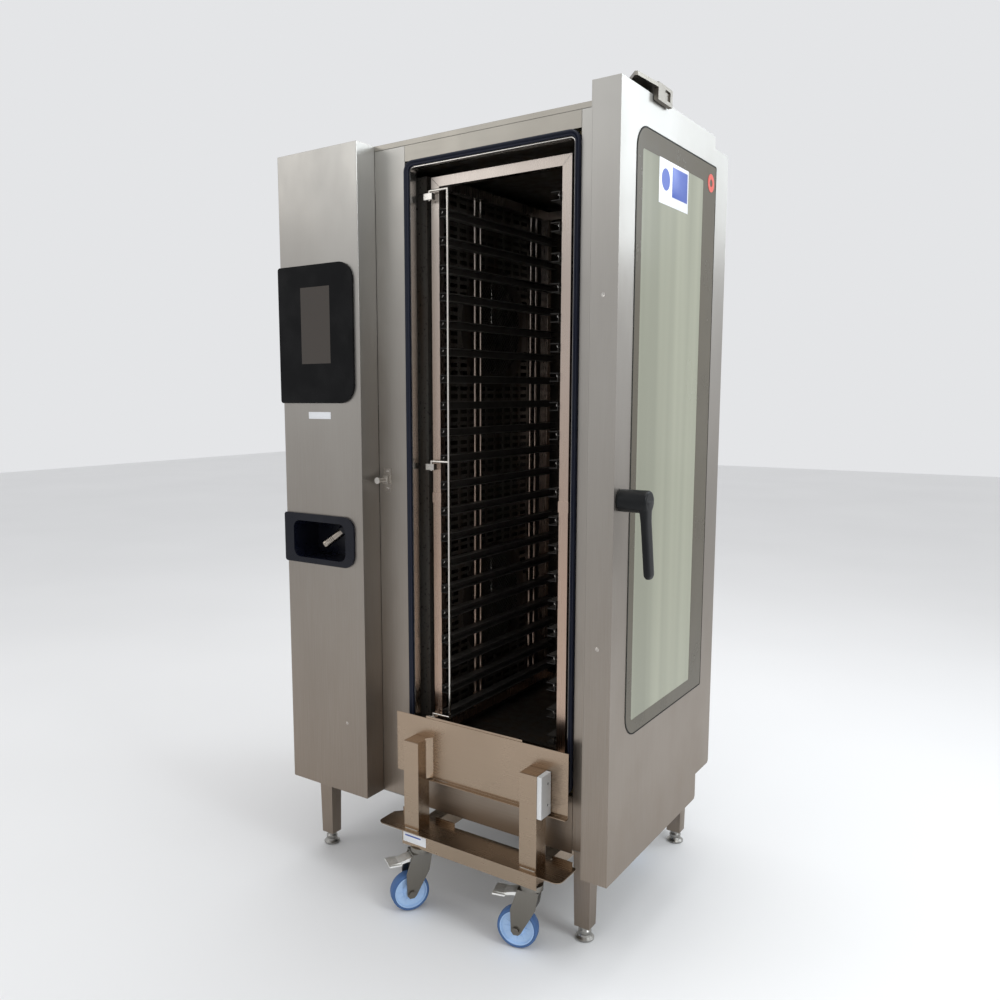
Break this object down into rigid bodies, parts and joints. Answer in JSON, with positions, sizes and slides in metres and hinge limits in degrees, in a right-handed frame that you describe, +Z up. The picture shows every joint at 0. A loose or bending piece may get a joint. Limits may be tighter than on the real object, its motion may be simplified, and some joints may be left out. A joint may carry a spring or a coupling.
{
  "type": "combi steamer oven",
  "caption": "Floor-standing combi steamer oven with a tall glazed door that opens and slides back, a control column and a roll-in tray trolley.",
  "frame": {"origin": "on the floor, under the middle of the object's bounding box with the door open and slid back", "axes": "+X to the viewer's right seen from the front (the door side), +Y from the front to the back, +Z up"},
  "size_m": [1.08, 0.9612, 1.977],
  "materials": {
    "stainless": "satin",
    "rear_steel": "matte",
    "bright_steel": "satin",
    "cavity_steel": "satin",
    "trolley_steel": "satin",
    "rack_steel": "satin",
    "foot_steel": "satin",
    "caster_steel": "satin",
    "pedal": "gloss",
    "gasket": "matte",
    "wool": "matte",
    "motor_paint": "matte",
    "heater": "matte",
    "black_gloss": "gloss",
    "screen": "gloss",
    "circuit_board": "matte",
    "chrome": "polished",
    "brass": "satin",
    "black_plastic": "satin",
    "white_plastic": "satin",
    "door_glass": "gloss",
    "wheel_blue": "satin"
  },
  "bodies": {
    "cabinet": {"left_side_panel": "stainless", "right_side_panel": "stainless", "rear_panel": "rear_steel", "top_cover": "stainless", "bottom_pan": "rear_steel", "front_stiles": "stainless", "front_top_rail": "stainless", "lower_front_panel": "stainless", "console_cover": "stainless", "cavity_liner": "cavity_steel", "cavity_front_frame": "bright_steel", "door_gasket": "gasket", "insulation": "wool", "fan_baffle": "cavity_steel", "fan_motors": "motor_paint", "heating_elements": "heater", "water_injectors": "bright_steel", "legs": "bright_steel", "levelling_feet": "foot_steel", "display_bezel": "black_gloss", "display_screen": "screen", "control_boards": "circuit_board", "shower_recess": "black_gloss", "door_catch": "bright_steel", "panel_screws": "bright_steel", "hinge_bases": "bright_steel", "exhaust_stub": "rear_steel", "drain_pipe": "rear_steel", "water_inlets": "brass", "cable_gland": "black_plastic"},
    "fan_upper": {"fan_rotor_upper": "cavity_steel"},
    "fan_lower": {"fan_rotor_lower": "cavity_steel"},
    "shower": {"hand_shower": "chrome"},
    "door_arms": {"hinge_arms": "bright_steel"},
    "door": {"door_outer_skin": "stainless", "door_inner_skin": "stainless", "door_outer_glass": "door_glass", "door_inner_glass": "door_glass", "door_slide_rails": "rear_steel", "door_screws": "bright_steel"},
    "handle": {"door_handle": "black_plastic", "latch_spindle": "bright_steel"},
    "trolley": {"trolley_chassis": "trolley_steel", "trolley_posts": "trolley_steel", "trolley_shield": "trolley_steel", "buffer_block": "white_plastic", "rack_frame": "rack_steel", "tray_rails": "cavity_steel", "drip_tray": "cavity_steel", "retainer_clamps": "bright_steel", "rear_caster_forks": "caster_steel"},
    "retainer": {"tray_retainer": "chrome"},
    "caster_left": {"caster_fork_left": "caster_steel"},
    "caster_right": {"caster_fork_right": "caster_steel"},
    "pedal_left": {"brake_pedal_left": "pedal"},
    "pedal_right": {"brake_pedal_right": "pedal"},
    "wheel_front_left": {"front_wheel_left": "wheel_blue"},
    "wheel_front_right": {"front_wheel_right": "wheel_blue"},
    "wheel_rear_left": {"rear_wheel_left": "wheel_blue"},
    "wheel_rear_right": {"rear_wheel_right": "wheel_blue"}
  },
  "joints": [
    {"name": "door_swing", "type": "hinge", "parent": "cabinet", "child": "door_arms", "pos_m": [0.332, -0.25344, 0.99], "axis": [0, 0, 1], "range_deg": [-35, 0]},
    {"name": "door_slide", "type": "slide", "parent": "door_arms", "child": "door", "axis": [0, -1, 0], "range_m": [0, 0.395]},
    {"name": "handle_turn", "type": "hinge", "parent": "door", "child": "handle", "pos_m": [0.463, -0.41744, 1.098], "axis": [1, 0, 0], "range_deg": [0, 75]},
    {"name": "trolley_roll", "type": "slide", "parent": "cabinet", "child": "trolley", "axis": [0, -1, 0], "range_m": [0, 0.8]},
    {"name": "retainer_swing", "type": "hinge", "parent": "trolley", "child": "retainer", "pos_m": [-0.12, -0.28344, 1.147], "axis": [0, 0, 1], "range_deg": [-100, 0]},
    {"name": "swivel_left", "type": "hinge", "parent": "trolley", "child": "caster_left", "pos_m": [-0.081, -0.39144, 0.16], "axis": [0, 0, 1], "continuous": true},
    {"name": "swivel_right", "type": "hinge", "parent": "trolley", "child": "caster_right", "pos_m": [0.242, -0.38444, 0.16], "axis": [0, 0, 1], "continuous": true},
    {"name": "pedal_press_left", "type": "hinge", "parent": "caster_left", "child": "pedal_left", "pos_m": [-0.09362, -0.40946, 0.14], "axis": [-0.8192, 0.5736, 0], "range_deg": [-12, 0]},
    {"name": "pedal_press_right", "type": "hinge", "parent": "caster_right", "child": "pedal_right", "pos_m": [0.22075, -0.39013, 0.14], "axis": [-0.2588, 0.9659, 0], "range_deg": [-12, 0]},
    {"name": "wheel_spin_front_left", "type": "hinge", "parent": "caster_left", "child": "wheel_front_left", "pos_m": [-0.09993, -0.41847, 0.05], "axis": [-0.8192, 0.5736, 0], "continuous": true},
    {"name": "wheel_spin_front_right", "type": "hinge", "parent": "caster_right", "child": "wheel_front_right", "pos_m": [0.21012, -0.39298, 0.05], "axis": [-0.2588, 0.9659, 0], "continuous": true},
    {"name": "wheel_spin_rear_left", "type": "hinge", "parent": "trolley", "child": "wheel_rear_left", "pos_m": [-0.096, 0.15056, 0.05], "axis": [1, 0, 0], "continuous": true},
    {"name": "wheel_spin_rear_right", "type": "hinge", "parent": "trolley", "child": "wheel_rear_right", "pos_m": [0.24, 0.15056, 0.05], "axis": [1, 0, 0], "continuous": true},
    {"name": "fan_spin_upper", "type": "hinge", "parent": "cabinet", "child": "fan_upper", "pos_m": [-0.206, 0.05556, 1.497], "axis": [1, 0, 0], "continuous": true},
    {"name": "fan_spin_lower", "type": "hinge", "parent": "cabinet", "child": "fan_lower", "pos_m": [-0.206, 0.05556, 0.721], "axis": [1, 0, 0], "continuous": true},
    {"name": "shower_pull", "type": "slide", "parent": "cabinet", "child": "shower", "axis": [-0.6378, -0.4806, -0.6018], "range_m": [0, 0.05]}
  ],
  "couplings": [
    {"joint": "wheel_spin_rear_left", "follows": "trolley_roll", "rad_per_m": 20},
    {"joint": "wheel_spin_rear_right", "follows": "trolley_roll", "rad_per_m": 20}
  ]
}
